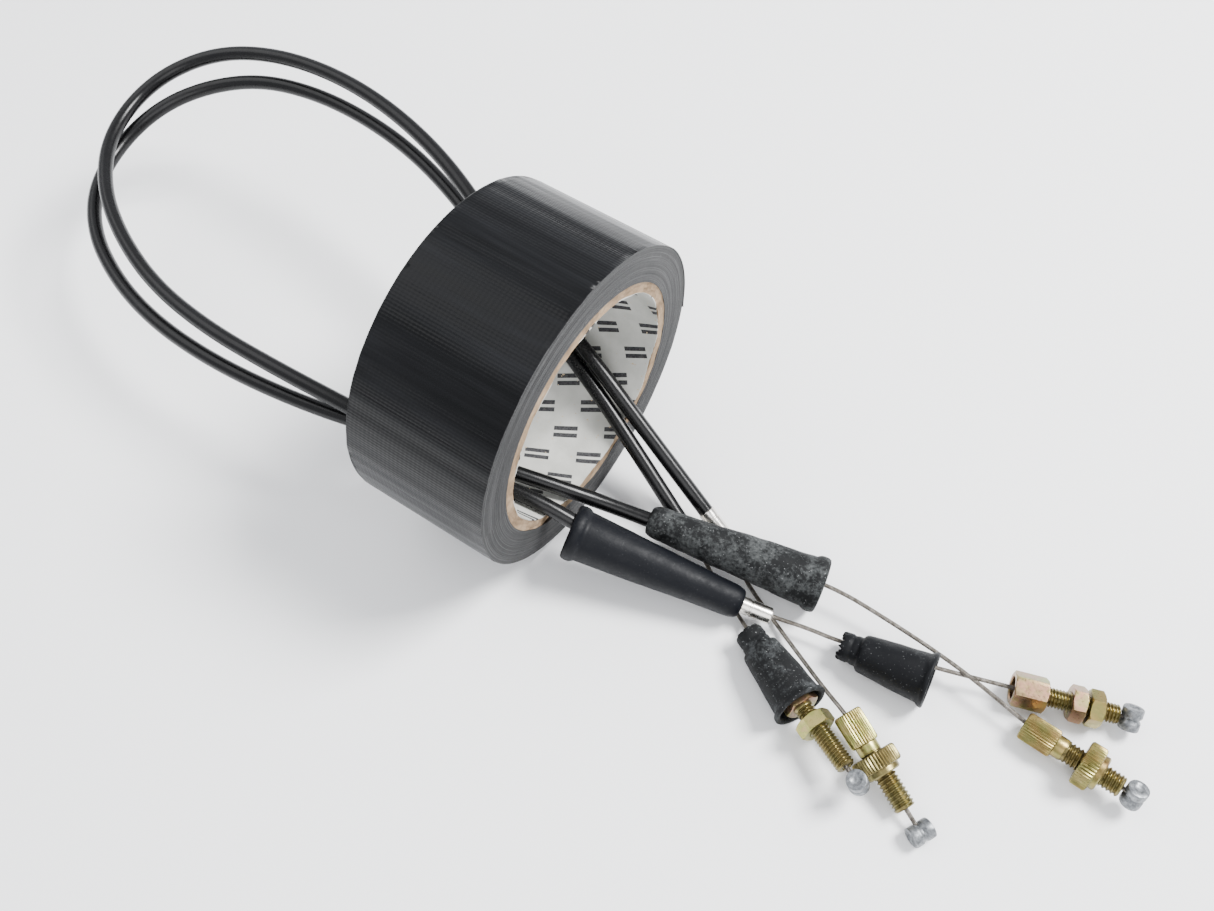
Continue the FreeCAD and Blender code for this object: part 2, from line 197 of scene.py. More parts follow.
def tape_material():
    s = Shader("cloth_tape")
    xyz = s.split(s.coord())
    angle, radius = roll_angle(s, xyz)
    x = s.math("MULTIPLY", xyz[0], 1000.0)
    # Threads across the tape (lines along the axis) and fainter threads along it.
    across = s.math("SINE", s.math("MULTIPLY", angle, 330.0))
    along = s.math("SINE", s.math("MULTIPLY", x, 4.2))
    weave = s.math("ADD", s.math("MULTIPLY", across, 0.6), s.math("MULTIPLY", along, 0.4))
    join = s.tree.nodes.new("ShaderNodeCombineXYZ")
    s.link(s.math("MULTIPLY", angle, 9.0), join.inputs[0])
    s.link(s.math("MULTIPLY", x, 0.012), join.inputs[1])
    bands = s.noise(join.outputs[0], 1.0, 3.0, 0.6)
    fine = s.noise(s.scaled(s.coord(), (300.0, 900.0, 900.0)), 1.0, 2.0)
    face = s.math("GREATER_THAN", s.math("ABSOLUTE", x), ROLL_WIDTH / 2 - 0.25)
    # Wound edges on the two flat faces.
    rings = s.math("SINE", s.math("MULTIPLY", radius, 26.0))
    turns = s.tree.nodes.new("ShaderNodeCombineXYZ")
    s.link(s.math("MULTIPLY", radius, 3.0), turns.inputs[0])
    s.link(s.math("MULTIPLY", angle, 0.5), turns.inputs[1])
    turn_tone = s.noise(turns.outputs[0], 1.6, 5.0, 0.75)
    scuff = s.noise(s.scaled(s.coord(), (120.0, 120.0, 120.0)), 1.0, 5.0, 0.6)
    outer = s.ramp(bands, [(0.3, (0.0012, 0.0013, 0.0016)), (0.55, (0.003, 0.0033, 0.004)),
                           (0.75, (0.007, 0.0075, 0.009))])
    edge = s.ramp(turn_tone, [(0.38, (0.007, 0.007, 0.008)), (0.5, (0.024, 0.025, 0.026)),
                              (0.62, (0.080, 0.080, 0.082))])
    edge = s.mix(s.math("MULTIPLY", scuff, 0.35), edge, (0.07, 0.068, 0.066))
    colour = s.mix(face, outer, edge)
    rough = s.ramp(bands, [(0.35, (0.24,)), (0.5, (0.34,)), (0.7, (0.44,))])
    rough = s.mix(face, rough, (0.62, 0.62, 0.62))
    height = s.math("ADD", s.math("MULTIPLY", weave, 0.35), s.math("MULTIPLY", bands, 2.5))
    height = s.math("ADD", height, s.math("MULTIPLY", fine, 0.5))
    height = s.math("ADD", height, s.math("MULTIPLY", s.math("MULTIPLY", rings, face), 1.2))
    s.bump(height, 0.35, 0.00018)
    return s.finish(colour, rough, specular=0.17)


def cardboard_material():
    s = Shader("cardboard")
    fibre = s.noise(s.scaled(s.coord(), (500.0, 160.0, 160.0)), 1.0, 6.0, 0.65)
    blotch = s.noise(s.coord(), 130.0, 3.0)
    colour = s.ramp(fibre, [(0.3, (0.13, 0.085, 0.05)), (0.5, (0.25, 0.175, 0.11)),
                            (0.72, (0.40, 0.30, 0.20))])
    colour = s.mix(s.math("MULTIPLY", blotch, 0.35), colour, (0.22, 0.155, 0.10))
    s.bump(fibre, 0.6, 0.0004)
    return s.finish(colour, 0.9, specular=0.15)


def paper_material():
    s = Shader("printed_paper")
    xyz = s.split(s.coord())
    angle, _ = roll_angle(s, xyz)
    arc = s.math("MULTIPLY", angle, BORE_RADIUS)
    x = s.math("MULTIPLY", xyz[0], 1000.0)
    # Two plain bars side by side in each cell, in staggered rows across the paper.
    lean = math.radians(28)
    u = s.math("ADD", s.math("MULTIPLY", x, math.cos(lean)), s.math("MULTIPLY", arc, math.sin(lean)))
    v = s.math("SUBTRACT", s.math("MULTIPLY", arc, math.cos(lean)),
               s.math("MULTIPLY", x, math.sin(lean)))
    row = s.math("FLOOR", s.math("DIVIDE", v, 9.0))
    shift = s.math("MULTIPLY", s.math("MODULO", s.math("ABSOLUTE", row), 2.0), 8.5)
    cell_u = s.math("WRAP", s.math("ADD", u, shift), 8.5, -8.5)
    cell_v = s.math("WRAP", s.math("SUBTRACT", v, 4.5), 4.5, -4.5)
    long_side = s.math("LESS_THAN", s.math("ABSOLUTE", cell_u), 4.0)
    off = s.math("ABSOLUTE", s.math("SUBTRACT", s.math("ABSOLUTE", cell_v), 1.25))
    bar = s.math("MULTIPLY", long_side, s.math("LESS_THAN", off, 0.75))
    grain = s.noise(s.coord(), 1500.0, 3.0)
    mottle = s.noise(s.coord(), 90.0, 4.0)
    # Painted shade: the paper's tone is darkened to stand for the shade that falls inside the roll's
    # bore.
    paper_with_painted_shade = s.ramp(mottle, [(0.3, (0.36, 0.36, 0.33)), (0.7, (0.52, 0.52, 0.49))])
    ink = s.ramp(grain, [(0.35, (0.015, 0.015, 0.017)), (0.75, (0.06, 0.06, 0.062))])
    specks = s.math("GREATER_THAN", s.noise(s.coord(), 900.0, 1.0), 0.74)
    colour = s.mix(bar, paper_with_painted_shade, ink)
    colour = s.mix(specks, colour, (0.45, 0.35, 0.22))
    s.bump(grain, 0.2, 0.0001)
    return s.finish(colour, 0.72, specular=0.3)


def sheath_material():
    s = Shader("black_pvc")
    fine = s.noise(s.coord(), 420.0, 3.0)
    wide = s.noise(s.coord(), 60.0, 3.0)
    colour = s.ramp(wide, [(0.3, (0.0015, 0.0015, 0.0017)), (0.7, (0.004, 0.004, 0.0045))])
    rough = s.ramp(fine, [(0.3, (0.22,)), (0.7, (0.32,))])
    s.bump(fine, 0.12, 0.00015)
    return s.finish(colour, rough, specular=0.28)


def steel_rope_material():
    s = Shader("wire_rope")
    tone = s.noise(s.coord(), 700.0, 4.0)
    colour = s.ramp(tone, [(0.3, (0.07, 0.06, 0.05)), (0.55, (0.17, 0.155, 0.135)),
                           (0.75, (0.30, 0.28, 0.26))])
    return s.finish(colour, 0.42, metallic=0.85)


def nickel_material():
    s = Shader("bright_nickel")
    tone = s.noise(s.coord(), 260.0, 4.0)
    colour = s.ramp(tone, [(0.3, (0.62, 0.58, 0.52)), (0.7, (0.86, 0.84, 0.80))])
    rough = s.ramp(tone, [(0.3, (0.16,)), (0.7, (0.30,))])
    s.bump(tone, 0.1, 0.0001)
    return s.finish(colour, rough, metallic=1.0)


def zinc_material():
    s = Shader("zinc_alloy")
    tone = s.noise(s.coord(), 800.0, 5.0, 0.65)
    colour = s.ramp(tone, [(0.3, (0.08, 0.085, 0.09)), (0.5, (0.19, 0.20, 0.21)),
                           (0.72, (0.34, 0.35, 0.36))])
    s.bump(tone, 0.35, 0.0002)
    return s.finish(colour, 0.45, metallic=0.8)


def chromate_material(name, tints, scale, wear):
    # Yellow passivate: gold with pink and green film colours that drift over the piece.
    s = Shader(name)
    film = s.noise(s.coord(), scale, 3.0, 0.5)
    fine = s.noise(s.coord(), 1100.0, 4.0, 0.6)
    colour = s.ramp(film, [(0.30, tints[0]), (0.45, tints[1]), (0.58, tints[2]),
                           (0.72, tints[3])])
    colour = s.mix(s.math("MULTIPLY", fine, wear), colour, (0.20, 0.15, 0.07))
    rough = s.ramp(fine, [(0.3, (0.24,)), (0.7, (0.42,))])
    s.bump(fine, 0.22, 0.0001)
    return s.finish(colour, rough, metallic=0.95)


def rubber_material(name, dust, dust_colour, base, cover, rough=0.55):
    s = Shader(name)
    wide = s.noise(s.coord(), 130.0, 7.0, 0.74)
    fine = s.noise(s.coord(), 900.0, 4.0, 0.7)
    both = s.math("ADD", s.math("MULTIPLY", wide, 0.66), s.math("MULTIPLY", fine, 0.34))
    mask = s.ramp(both, [(cover, (0.0,)), (cover + 0.13, (dust,))])
    colour = s.mix(mask, base, dust_colour)
    specks = s.math("GREATER_THAN", s.noise(s.coord(), 1700.0, 2.0, 0.6), 0.70)
    colour = s.mix(s.math("MULTIPLY", specks, dust * 0.9), colour, (0.30, 0.31, 0.31))
    s.bump(both, 0.5, 0.00035)
    rough_map = s.ramp(both, [(0.4, (rough,)), (0.7, (min(rough + 0.25, 1.0),))])
    return s.finish(colour, rough_map, specular=0.16)


GOLD = [(0.17, 0.10, 0.04), (0.27, 0.20, 0.065), (0.20, 0.19, 0.06), (0.36, 0.30, 0.12)]
PINK = [(0.20, 0.20, 0.06), (0.29, 0.16, 0.11), (0.24, 0.18, 0.09), (0.22, 0.26, 0.08)]
OLIVE = [(0.09, 0.075, 0.03), (0.19, 0.155, 0.06), (0.14, 0.13, 0.05), (0.27, 0.23, 0.11)]
PALE = [(0.26, 0.22, 0.07), (0.40, 0.34, 0.13), (0.27, 0.28, 0.08), (0.38, 0.24, 0.13)]

MAT = {
    "tape": tape_material(),
    "cardboard": cardboard_material(),
    "paper_with_painted_shade": paper_material(),
    "sheath": sheath_material(),
    "rope": steel_rope_material(),
    "nickel": nickel_material(),
    "zinc": zinc_material(),
    "gold": chromate_material("zinc_gold", GOLD, 150.0, 0.35),
    "pink": chromate_material("zinc_pink", PINK, 170.0, 0.25),
    "olive": chromate_material("zinc_olive", OLIVE, 160.0, 0.45),
    "pale": chromate_material("zinc_pale", PALE, 190.0, 0.2),
    "dusty": rubber_material("dusty_rubber", 0.8, (0.075, 0.08, 0.08), (0.006, 0.0065, 0.007),
                             0.46, 0.62),
    "speckled": rubber_material("speckled_rubber", 0.75, (0.065, 0.07, 0.072),
                                (0.005, 0.0055, 0.006), 0.49, 0.62),
    "blue_black": rubber_material("clean_rubber", 0.10, (0.03, 0.035, 0.045),
                                  (0.0018, 0.0024, 0.0042), 0.60, 0.42),
    "black": rubber_material("scuffed_rubber", 0.30, (0.10, 0.105, 0.11),
                             (0.002, 0.0024, 0.0034), 0.57, 0.44),
}


# --------------------------------------------------------------------- mesh helpers
def mesh_object(name, verts, faces, material, sharp=None):
    mesh = bpy.data.meshes.new(name)
    mesh.from_pydata([tuple(c * MM for c in v) for v in verts], [], faces)
    mesh.update()
    obj = bpy.data.objects.new(name, mesh)
    bpy.context.collection.objects.link(obj)
    obj.data.materials.append(material)
    for p in mesh.polygons:
        p.use_smooth = True
    if sharp:
        mesh.set_sharp_from_angle(angle=math.radians(sharp))
    return obj


def stand_for(obj, body, slot, *nodes):
    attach(obj, body)
    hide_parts(*nodes)
    return obj


def local_axes(point, direction, spin=0.0):
    turn = Vector((0, 0, 1)).rotation_difference(Vector(direction).normalized())
    return Matrix.Translation(Vector(point)) @ turn.to_matrix().to_4x4() @ Matrix.Rotation(
        math.radians(spin), 4, "Z")


def along(point, direction, distance):
    return tuple(Vector(point) + Vector(direction).normalized() * distance)


def ringed(rings, count, place, closed):
    """Vertices and faces of rings round local Z; each ring is a function of the angle
    giving (radius, height).  closed joins the last ring to the first."""
    verts, faces = [], []
    for ring in rings:
        for i in range(count):
            a = 2 * math.pi * i / count
            r, z = ring(a)
            verts.append(tuple(place @ Vector((r * math.cos(a), r * math.sin(a), z))))
    last = len(rings) if closed else len(rings) - 1
    for k in range(last):
        low, high = k * count, ((k + 1) % len(rings)) * count
        for i in range(count):
            j = (i + 1) % count
            faces.append((low + i, low + j, high + j, high + i))
    if not closed:
        faces.append(tuple(range(count - 1, -1, -1)))
        faces.append(tuple(range((len(rings) - 1) * count, len(rings) * count)))
    return verts, faces


def plain(r, z):
    return lambda a: (r, z)


def hex_ring(across, z, limit):
    def ring(a):
        step = (a % (math.pi / 3)) - math.pi / 6
        return (min(across / 2 / math.cos(step), limit), z)
    return ring


def tooth_ring(radius, depth, teeth, z):
    def ring(a):
        wave = 0.5 - 0.5 * math.cos(a * teeth)
        return (radius - depth * wave ** 0.7, z)
    return ring


def thread_rings(radius, pitch, start, end, depth):
    """Rings of a true helical thread with a faded start and end."""
    rings = []
    steps = int((end - start) / pitch * 10)
    for k in range(steps + 1):
        z = start + (end - start) * k / steps
        fade = max(0.0, min(1.0, (z - start) / (0.7 * pitch), (end - z) / (0.6 * pitch)))
        tip = radius - 0.55 * max(0.0, 1 - (end - z) / 0.5)

        def ring(a, z=z, fade=fade, tip=tip):
            phase = (z / pitch - a / (2 * math.pi)) % 1.0
            wave = abs(2 * phase - 1)
            groove = min(1.0, max(0.0, (wave - 0.12) / 0.76))
            return (min(tip, radius - depth * fade * groove), z)
        rings.append(ring)
    return rings


# ------------------------------------------------------------------- the tape roll
def roll_lathe(name, profile, count, wobble, material, body_slot, node, sharp):
    """Turns (x, radius) points round the roll's axis; wobble moves each by its own noise."""
    verts, faces = [], []
    for k, (x, r) in enumerate(profile):
        for i in range(count):
            a = 2 * math.pi * i / count
            dx, dr = wobble(k, a, x, r)
            verts.append((x + dx, (r + dr) * math.cos(a), ROLL_RADIUS + (r + dr) * math.sin(a)))
    n = len(profile)
    for k in range(n):
        low, high = k * count, ((k + 1) % n) * count
        for i in range(count):
            j = (i + 1) % count
            faces.append((low + i, low + j, high + j, high + i))
    obj = mesh_object(name, verts, faces, material, sharp=sharp)
    return stand_for(obj, "roll_and_housings", body_slot, node)


def pseudo(k):
    return math.sin(k * 12.9898) * 43758.5453 % 1.0


TURN_STEP = 0.42            # spacing of the rings that show the wound edges
OUTER_SETBACK = 0.216       # the last ring's distance from the outside
EDGE_ROUND = 0.12
ROLL_COLUMNS = 24


def winding():
    half = ROLL_WIDTH / 2
    profile, radii = [], []
    r = CORE_RADIUS
    while r < ROLL_RADIUS - 0.5:
        radii.append(r)
        r += TURN_STEP
    radii.append(ROLL_RADIUS - OUTER_SETBACK)
    for r in radii:
        profile.append((half, r))
    inset = half - EDGE_ROUND
    profile.append((inset, ROLL_RADIUS - 0.03))
    for i in range(1, ROLL_COLUMNS):
        profile.append((inset - i * 2 * inset / ROLL_COLUMNS, ROLL_RADIUS))
    profile.append((-inset, ROLL_RADIUS - 0.03))
    for r in reversed(radii):
        profile.append((-half, r))
    faces_at = len(radii)

    def wobble(k, a, x, r):
        near = k < faces_at
        far = k >= len(profile) - faces_at
        if near or far:
            side = 1 if near else -1
            step = -0.34 * pseudo(round(r * 10)) - 0.10 * math.sin(2 * a + r)
            rough = -0.05 * pseudo(round(r * 10) * 7.7 + round(a * 40))
            return side * (step * 0.55 + rough), 0.0
        # Slight flats run along the width where the tape was pulled tight.
        flat = (0.08 * math.sin(13 * a + 0.6) + 0.06 * math.sin(29 * a + 2.0)
                + 0.04 * math.sin(53 * a))
        return 0.0, flat - 0.20
    return roll_lathe("tape_winding_turns", profile, 384, wobble, MAT["tape"], "cloth_tape",
                      "tape_winding", sharp=50)


def tail():
    """The free end of the last turn, with a cut edge that lifts and frays a little."""
    verts, faces = [], []
    columns, rows = 60, 40
    for side in (0, 1):
        for i in range(columns + 1):
            t = i / columns
            a = math.radians(TAIL_FROM + (TAIL_TO - TAIL_FROM) * t)
            lift = 0.55 * math.exp(-t * columns / 3.0) + 0.05
            for j in range(rows + 1):
                x = -ROLL_WIDTH / 2 + ROLL_WIDTH * j / rows
                fray = 0.0
                if i == 0:
                    fray = 0.018 * (pseudo(j * 3.3) - 0.3) + 0.012 * math.sin(j * 0.9)
                wave = 0.10 * math.sin(j * 0.35) * math.exp(-t * 6)
                r = ROLL_RADIUS - 0.02 + lift + wave - (0.32 if side else 0.0)
                verts.append((x, r * math.cos(a - fray), ROLL_RADIUS + r * math.sin(a - fray)))
    size = (columns + 1) * (rows + 1)

    def at(side, i, j):
        return side * size + i * (rows + 1) + j
    for i in range(columns):
        for j in range(rows):
            faces.append((at(0, i, j), at(0, i, j + 1), at(0, i + 1, j + 1), at(0, i + 1, j)))
            faces.append((at(1, i, j), at(1, i + 1, j), at(1, i + 1, j + 1), at(1, i, j + 1)))
    for i in range(columns):
        faces.append((at(0, i, 0), at(0, i + 1, 0), at(1, i + 1, 0), at(1, i, 0)))
        faces.append((at(0, i, rows), at(1, i, rows), at(1, i + 1, rows), at(0, i + 1, rows)))
    for j in range(rows):
        faces.append((at(0, 0, j), at(1, 0, j), at(1, 0, j + 1), at(0, 0, j + 1)))
        faces.append((at(0, columns, j), at(0, columns, j + 1), at(1, columns, j + 1),
                      at(1, columns, j)))
    obj = mesh_object("tape_tail_end", verts, faces, MAT["tape"], sharp=50)
    return stand_for(obj, "roll_and_housings", "cloth_tape", "tape_tail")


def core():
    half = ROLL_WIDTH / 2 - 0.15
    inner = BORE_RADIUS + 0.02
    outer = CORE_RADIUS - 0.02
    steps = 9
    profile = []
    for k in range(steps + 1):
        profile.append((half, inner + (outer - inner) * k / steps))
    profile.append((0.0, outer))
    for k in range(steps + 1):
        profile.append((-half, outer - (outer - inner) * k / steps))
    profile.append((0.0, inner))
    last = len(profile)

    def wobble(k, a, x, r):
        if k in (steps + 1, last - 1):
            return 0.0, 0.0
        side = 1 if x > 0 else -1
        torn = 0.25 * math.sin(7 * a + r) + 0.18 * math.sin(23 * a + 3 * r)
        fibre = 0.35 * pseudo(round(a * 61) + round(r * 9) * 3.1)
        mid = 1.0 - abs((r - inner) / (outer - inner) * 2 - 1) ** 4
        notch = 1.1 * math.exp(-((a - 4.15) / 0.10) ** 2) if side > 0 else 0.0
        return side * (-abs(torn) * 0.6 - fibre * mid - notch), 0.0
    return roll_lathe("cardboard_core_tube", profile, 320, wobble, MAT["cardboard"],
                      "cardboard", "cardboard_core", sharp=60)


def liner():
    half = ROLL_WIDTH / 2 - 0.3
    outer, inner = BORE_RADIUS - 0.01, BORE_RADIUS - LINER_WALL
    profile = [(half, inner), (half, outer)] + [(-half, outer), (-half, inner)]
    profile += [(-half + ROLL_WIDTH * k / 12, inner) for k in range(1, 12)]

    def wobble(k, a, x, r):
        edge = 0.3 * math.sin(11 * a) + 0.2 * pseudo(round(a * 50))
        return (-edge if x > half - 0.1 else 0.0), 0.04 * math.sin(9 * a + 0.1 * x)
    return roll_lathe("core_liner_paper", profile, 256, wobble, MAT["paper_with_painted_shade"],
                      "printed_paper", "core_liner", sharp=60)


winding()
tail()
core()
liner()


# ---------------------------------------------------------------------- the cables
def cord_curve(name, points, radius, material):
    curve = bpy.data.curves.new(name, "CURVE")
    curve.dimensions = "3D"
    spline = curve.splines.new("NURBS")
    spline.points.add(len(points) - 1)
    for p, (x, y, z) in zip(spline.points, points):
        p.co = (x * MM, y * MM, z * MM, 1.0)
    spline.order_u = 3
    spline.use_endpoint_u = True
    spline.resolution_u = 12
    curve.bevel_depth = radius * MM
    curve.bevel_resolution = 6
    curve.use_fill_caps = True
    obj = bpy.data.objects.new(name, curve)
    bpy.context.collection.objects.link(obj)
    obj.data.materials.append(material)
    return obj


def sampled(points):
    """The NURBS line itself, read back from a curve with no bevel."""
    probe = cord_curve("probe", points, 0.0, MAT["rope"])
    bpy.context.view_layer.update()
    mesh = bpy.data.meshes.new_from_object(probe)
    line = [Vector(v.co) / MM for v in mesh.vertices]
    bpy.data.meshes.remove(mesh)
    bpy.data.objects.remove(probe)
    return line


def even(line, step):
    out, carry = [line[0]], 0.0
    for a, b in zip(line, line[1:]):
        length = (b - a).length
        if length < 1e-9:
            continue
        place = step - carry
        while place <= length:
            out.append(a + (b - a) * (place / length))
            place += step
        carry = length - (place - step)
    if (out[-1] - line[-1]).length > step * 0.3:
        out.append(line[-1])
    return out


STRANDS = 8
STRAND_RADIUS = 0.21
STRAND_LAY = 7.0            # length of one turn of a strand
ROPE_STEP = 0.75


def rope(name, line, material):
    """Twisted strands laid round the line, and a core that fills the middle."""
    points = even(line, ROPE_STEP)
    count = len(points)
    tangents = []
    for i in range(count):
        tangents.append((points[min(i + 1, count - 1)] - points[max(i - 1, 0)]).normalized())
    side = tangents[0].orthogonal().normalized()
    frames = []
    for i in range(count):
        side = (side - tangents[i] * side.dot(tangents[i])).normalized()
        frames.append((side.copy(), tangents[i].cross(side).normalized()))
    offset = WIRE_RADIUS - STRAND_RADIUS
    tubes = [(offset, STRAND_RADIUS, 2 * math.pi * k / STRANDS, 5) for k in range(STRANDS)]
    tubes.append((0.0, offset, 0.0, 8))
    verts, faces = [], []
    for radius, thick, phase, sides in tubes:
        base = len(verts)
        for i in range(count):
            u, v = frames[i]
            turn = phase + 2 * math.pi * i * ROPE_STEP / STRAND_LAY
            centre = points[i] + (u * math.cos(turn) + v * math.sin(turn)) * radius
            for s in range(sides):
                b = 2 * math.pi * s / sides
                verts.append(tuple(centre + (u * math.cos(b) + v * math.sin(b)) * thick))
        for i in range(count - 1):
            for s in range(sides):
                t = (s + 1) % sides
                low, high = base + i * sides, base + (i + 1) * sides
                faces.append((low + s, low + t, high + t, high + s))
        faces.append(tuple(base + s for s in reversed(range(sides))))
        faces.append(tuple(base + (count - 1) * sides + s for s in range(sides)))
    return mesh_object(name, verts, faces, material), [tuple(p * MM) for p in points]


def stub(end, depths, length):
    point, direction = end
    return [along(point, direction, d - length) for d in depths]


def cable(name, housing, before, after):
    first, second = Vector(housing[0]), Vector(housing[1])
    last, previous = Vector(housing[-1]), Vector(housing[-2])
    start = along(first, first - second, PAST_FERRULE)
    end = along(last, last - previous, PAST_FERRULE)
    full = list(reversed([start] + before)) + housing[1:-1] + [end] + after
    jacket = cord_curve(name + "_housing", housing, HOUSING_RADIUS, MAT["sheath"])
    stand_for(jacket, "roll_and_housings", "black_pvc", name + "_housing_jacket",
              name + "_spring_conduit", name + "_low_friction_liner")
    wire, path = rope(name + "_wire_strands", sampled(full), MAT["rope"])
    stand_for(wire, "roll_and_housings", "wire_rope", name + "_inner_wire")
    ends = [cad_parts[name + "_ferrule_near"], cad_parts[name + "_ferrule_far"]]
    for node in ends:
        node.data.materials.clear()
        node.data.materials.append(MAT["nickel"])


cable("a", A_HOUSING, A_HEX_WIRE + stub(A_HEX, (2.0, 9.5), HEX_LENGTH),
      A_KNURL_WIRE + stub(A_KNURL, (5.0, 14.0), KNURL_LENGTH))
cable("b", B_HOUSING, B_KNURL_WIRE + stub(B_KNURL, (2.5, 13.0), KNURL_LENGTH),
      B_HEX_WIRE + stub(B_HEX, (9.0,), HEX_LENGTH))


# ----------------------------------------------------------------------- end fittings
def hex_head_rings(across, low, high, chamfer):
    corner = across / math.sqrt(3)
    rings = []
    for k in range(4):
        t = k / 3
        rings.append(hex_ring(across, low + chamfer * 0.6 * t, corner - chamfer * (1 - t)))
    for k in range(4):
        t = k / 3
        rings.append(hex_ring(across, high - chamfer * 0.6 * (1 - t), corner - chamfer * t))
    return rings


def dress_thread(obj, count, from_ring, material):
    # The faces from that ring on, the thread's, take the second material.
    obj.data.materials.append(material)
    for p in obj.data.polygons:
        if p.index // count >= from_ring:
            p.material_index = 1


def hex_adjuster(name, end, spin, head_material, body):
    tip, direction = end
    place = local_axes(along(tip, direction, -HEX_LENGTH), direction, spin)
    rings = [plain(0.9, 8.0), plain(3.35, 8.0), plain(3.4, 0.35), plain(3.7, 0.0)]
    rings += hex_head_rings(HEX_AF, 0.0, HEX_HEAD, 0.8)
    head_rings = len(rings)
    rings += [plain(HEX_THREAD + 0.25, HEX_HEAD), plain(HEX_THREAD, HEX_HEAD + 0.25)]
    rings += thread_rings(HEX_THREAD, HEX_PITCH, HEX_HEAD + 0.3, HEX_LENGTH, THREAD_DEPTH)
    rings += [plain(1.4, HEX_LENGTH), plain(1.3, HEX_LENGTH - 0.2), plain(1.3, 12.0)]
    verts, faces = ringed(rings, HEX_ANGLES, place, True)
    obj = mesh_object(name + "_body", verts, faces, head_material, sharp=28)
    dress_thread(obj, HEX_ANGLES, head_rings, MAT["olive"])
    return stand_for(obj, body, "yellow_zinc", name)


def hex_nut(name, end, place_from_head, spin, material, body):
    tip, direction = end
    place = local_axes(along(tip, direction, place_from_head - HEX_LENGTH), direction, spin)
    bore = HEX_THREAD + 0.03
    rings = [plain(bore, 0.3), plain(bore + 0.45, 0.0)]
    rings += hex_head_rings(NUT_AF, 0.0, NUT_THICK, 0.7)
    rings += [plain(bore + 0.45, NUT_THICK), plain(bore, NUT_THICK - 0.3)]
    verts, faces = ringed(rings, HEX_ANGLES, place, True)
    obj = mesh_object(name + "_body", verts, faces, material, sharp=28)
    return stand_for(obj, body, "yellow_zinc", name)


def knurled_adjuster(name, end, material, body):
    tip, direction = end
    place = local_axes(along(tip, direction, -KNURL_LENGTH), direction)
    depth = 0.34
    rings = [plain(0.9, 8.0), plain(2.7, 8.0), plain(2.8, 0.3), plain(3.1, 0.0),
             plain(KNURL_RADIUS - 0.55, 0.0)]
    for z, back in ((0.25, 0.25), (0.7, 0.0), (4.0, 0.0), (7.0, 0.0), (KNURL_HEAD - 0.7, 0.0),
                    (KNURL_HEAD - 0.25, 0.25)):
        rings.append(tooth_ring(KNURL_RADIUS - back, depth if back == 0 else 0.1, KNURL_TEETH, z))
    collar_end = KNURL_HEAD + KNURL_COLLAR
    head_rings = len(rings) + 3
    rings += [plain(KNURL_RADIUS - 0.6, KNURL_HEAD), plain(KNURL_COLLAR_RADIUS, KNURL_HEAD),
              plain(KNURL_COLLAR_RADIUS, collar_end - 0.4), plain(KNURL_THREAD, collar_end - 0.1)]
    rings += thread_rings(KNURL_THREAD, KNURL_PITCH, collar_end, KNURL_LENGTH, THREAD_DEPTH)
    rings += [plain(1.4, KNURL_LENGTH), plain(1.3, KNURL_LENGTH - 0.2), plain(1.3, 12.0)]
    verts, faces = ringed(rings, KNURL_ANGLES, place, True)
    obj = mesh_object(name + "_body", verts, faces, material, sharp=32)
    dress_thread(obj, KNURL_ANGLES, head_rings, MAT["olive"])
    return stand_for(obj, body, "yellow_zinc", name)


def lock_nut(name, end, place_from_head, material, body):
    tip, direction = end
    place = local_axes(along(tip, direction, place_from_head - KNURL_LENGTH), direction)
    depth = 0.42
    bore = KNURL_THREAD + 0.03
    rings = [plain(bore, 0.3), plain(bore + 0.4, 0.0), plain(LOCK_RADIUS - 0.7, 0.0)]
    for z, back in ((0.2, 0.3), (0.65, 0.0), (2.5, 0.0), (LOCK_THICK - 0.65, 0.0),
                    (LOCK_THICK - 0.2, 0.3)):
        rings.append(tooth_ring(LOCK_RADIUS - back, depth if back == 0 else 0.15, LOCK_TEETH, z))
    top = LOCK_THICK + LOCK_BOSS_THICK
    rings += [plain(LOCK_RADIUS - 0.75, LOCK_THICK), plain(LOCK_BOSS, LOCK_THICK),
              plain(LOCK_BOSS, top - 0.4), plain(LOCK_BOSS - 0.4, top),
              plain(bore + 0.4, top), plain(bore, top - 0.3)]
    verts, faces = ringed(rings, LOCK_ANGLES, place, True)
    obj = mesh_object(name + "_body", verts, faces, material, sharp=32)
    return stand_for(obj, body, "yellow_zinc", name)


def nipple(name, end, gap, barrel_axis, body):
    tip, direction = end
    wire = Vector(direction).normalized()
    axis = Vector(barrel_axis)
    axis = (axis - wire * axis.dot(wire)).normalized()
    side = axis.cross(wire)
    centre = Vector(along(tip, direction, gap))
    place = Matrix.Translation(centre) @ Matrix(
        ((wire.x, side.x, axis.x, 0), (wire.y, side.y, axis.y, 0),
         (wire.z, side.z, axis.z, 0), (0, 0, 0, 1)))
    r, half = NIPPLE_RADIUS, NIPPLE_LENGTH / 2
    half_profile = [(0.35, half - 0.45), (1.3, half - 0.35), (1.7, half), (r - 0.45, half),
                    (r - 0.1, half - 0.15), (r, half - 0.5), (r, 1.15), (r - 0.12, 0.85),
                    (r - 0.7, 0.12)]
    rings = [plain(q, -z) for q, z in half_profile]
    rings += [plain(q, z) for q, z in reversed(half_profile)]

    def lumpy(ring, k):
        def made(a):
            q, z = ring(a)
            return q + 0.035 * math.sin(3 * a + k) * (q > 1.5), z
        return made
    rings = [lumpy(ring, k) for k, ring in enumerate(rings)]
    verts, faces = ringed(rings, 64, place, False)
    obj = mesh_object(name + "_barrel", verts, faces, MAT["zinc"], sharp=40)
    return stand_for(obj, body, "zinc_alloy", name)


def wire_end(prefix, end, gap, inside, body):
    tip, direction = end
    start, stop = along(tip, direction, -inside), along(tip, direction, gap)
    obj, _ = rope(prefix + "_wire_end_strands", [Vector(start), Vector(stop)], MAT["rope"])
    return stand_for(obj, body, "wire_rope", prefix + "_wire_end")


